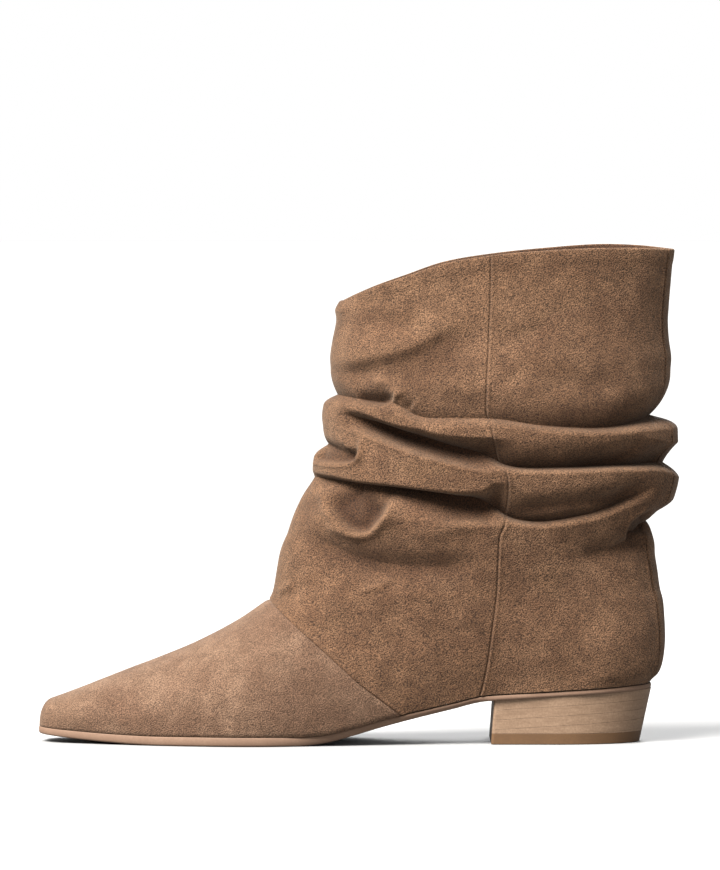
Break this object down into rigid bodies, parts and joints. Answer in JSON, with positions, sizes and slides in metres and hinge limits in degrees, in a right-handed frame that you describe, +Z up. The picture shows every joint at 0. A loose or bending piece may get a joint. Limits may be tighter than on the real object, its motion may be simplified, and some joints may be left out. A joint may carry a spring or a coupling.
{
  "type": "ankle boot",
  "caption": "Slouch ankle boot in suede with a slanted collar, soft rolls at the ankle, a narrow squared toe, a thin leather sole and a low stacked heel.",
  "frame": {"origin": "on the floor, at the middle of the heel's lower face", "axes": "+X towards the toe, +Y towards the outer side of this left boot, +Z up"},
  "size_m": [0.2832, 0.086, 0.2194],
  "materials": {
    "suede": "napped suede, matte, taupe brown",
    "sole_leather": "smooth edge-trimmed leather, satin",
    "sock_leather": "smooth lining leather, matte",
    "stacked_leather": "stacked leather with fine layer lines, satin",
    "lift_rubber": "brown, satin"
  },
  "bodies": {
    "root": {"upper": "suede", "outsole": "sole_leather", "insole": "sock_leather", "heel_lift_1": "stacked_leather", "heel_lift_2": "stacked_leather", "heel_lift_3": "stacked_leather", "heel_lift_4": "stacked_leather", "heel_lift_5": "stacked_leather", "top_lift": "lift_rubber"}
  },
  "joints": []
}
